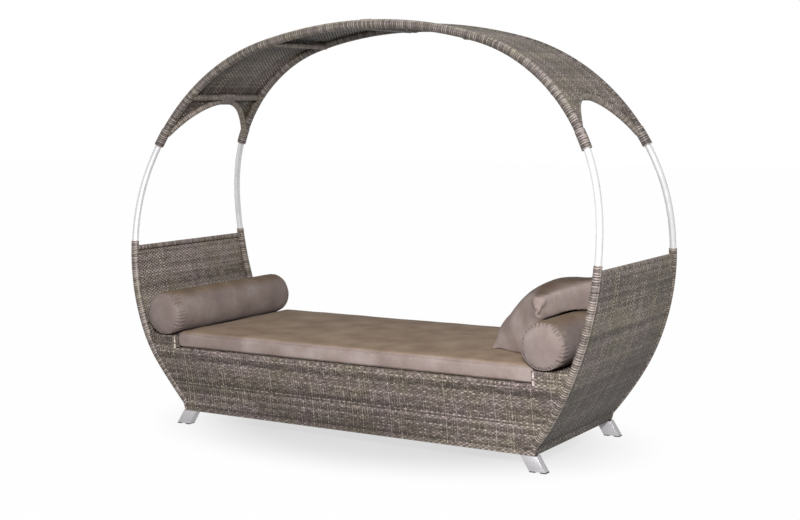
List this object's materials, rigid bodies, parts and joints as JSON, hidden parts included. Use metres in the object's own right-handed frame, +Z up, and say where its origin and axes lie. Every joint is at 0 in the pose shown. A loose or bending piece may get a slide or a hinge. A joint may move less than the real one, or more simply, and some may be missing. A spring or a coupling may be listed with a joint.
{
  "type": "outdoor daybed with canopy",
  "caption": "Outdoor daybed: a boat-shaped woven base between round hoops, bare uprights, a woven canopy with arched ends, a mattress, bolsters and a throw pillow.",
  "frame": {"origin": "on the floor, under the middle of the daybed, where the plane of the canopy's seam meets the plane halfway between the hoops", "axes": "+X along the daybed's length towards the end with the throw pillow, +Y from the front, where the bolsters stand proud, to the back, +Z up"},
  "size_m": [2.4934, 0.9568, 1.92],
  "materials": {
    "woven_strand": "satin",
    "wrapped_strand": "satin",
    "canopy_strand": "satin",
    "bare_aluminium": "satin",
    "frame_aluminium": "satin",
    "pad_plastic": "matte",
    "bolt_steel": "satin",
    "cushion_fabric": "matte"
  },
  "bodies": {
    "base": {"corner_post_front_left": "wrapped_strand", "corner_post_front_right": "wrapped_strand", "corner_post_back_left": "wrapped_strand", "corner_post_back_right": "wrapped_strand", "upright_front_left": "bare_aluminium", "upright_front_right": "bare_aluminium", "upright_back_left": "bare_aluminium", "upright_back_right": "bare_aluminium", "canopy_hoop_front_left": "wrapped_strand", "canopy_hoop_front_right": "wrapped_strand", "canopy_hoop_back_left": "wrapped_strand", "canopy_hoop_back_right": "wrapped_strand", "low_crossbar_left": "wrapped_strand", "low_crossbar_right": "wrapped_strand", "high_crossbar_left": "wrapped_strand", "high_crossbar_right": "wrapped_strand", "seam_bar_left": "wrapped_strand", "seam_bar_right": "wrapped_strand", "seam_bolt_front": "bolt_steel", "seam_bolt_back": "bolt_steel", "arch_rail_left": "wrapped_strand", "arch_rail_right": "wrapped_strand", "roof_skin_left": "canopy_strand", "roof_skin_right": "canopy_strand", "side_panel_front": "woven_strand", "side_panel_back": "woven_strand", "end_panel_left": "woven_strand", "end_panel_right": "woven_strand", "end_rail_left": "wrapped_strand", "end_rail_right": "wrapped_strand", "shoulder_left": "woven_strand", "shoulder_right": "woven_strand", "bottom_rail_front": "frame_aluminium", "bottom_rail_back": "frame_aluminium", "bottom_rail_left": "frame_aluminium", "bottom_rail_right": "frame_aluminium", "bottom_bearer": "frame_aluminium", "seat_rail_front": "frame_aluminium", "seat_rail_back": "frame_aluminium", "seat_slat_1": "frame_aluminium", "seat_slat_2": "frame_aluminium", "seat_slat_3": "frame_aluminium", "seat_slat_4": "frame_aluminium", "stud_front_left": "frame_aluminium", "stud_front_right": "frame_aluminium", "stud_back_left": "frame_aluminium", "stud_back_right": "frame_aluminium", "seat_deck": "woven_strand", "foot_front_left": "bare_aluminium", "foot_front_right": "bare_aluminium", "foot_back_left": "bare_aluminium", "foot_back_right": "bare_aluminium", "foot_pad_front_left": "pad_plastic", "foot_pad_front_right": "pad_plastic", "foot_pad_back_left": "pad_plastic", "foot_pad_back_right": "pad_plastic"},
    "mattress": {"mattress": "cushion_fabric"},
    "bolster_left": {"bolster_left": "cushion_fabric"},
    "bolster_right": {"bolster_right": "cushion_fabric"},
    "throw_pillow": {"throw_pillow": "cushion_fabric"}
  },
  "joints": [
    {"name": "mattress_lift", "type": "slide", "parent": "base", "child": "mattress", "axis": [0, 0, 1], "range_m": [0, 0.2]},
    {"name": "bolster_left_lift", "type": "slide", "parent": "mattress", "child": "bolster_left", "axis": [0, 0, 1], "range_m": [0, 0.2]},
    {"name": "bolster_right_lift", "type": "slide", "parent": "mattress", "child": "bolster_right", "axis": [0, 0, 1], "range_m": [0, 0.2]},
    {"name": "throw_pillow_lift", "type": "slide", "parent": "bolster_right", "child": "throw_pillow", "axis": [0, 0, 1], "range_m": [0, 0.15]}
  ]
}
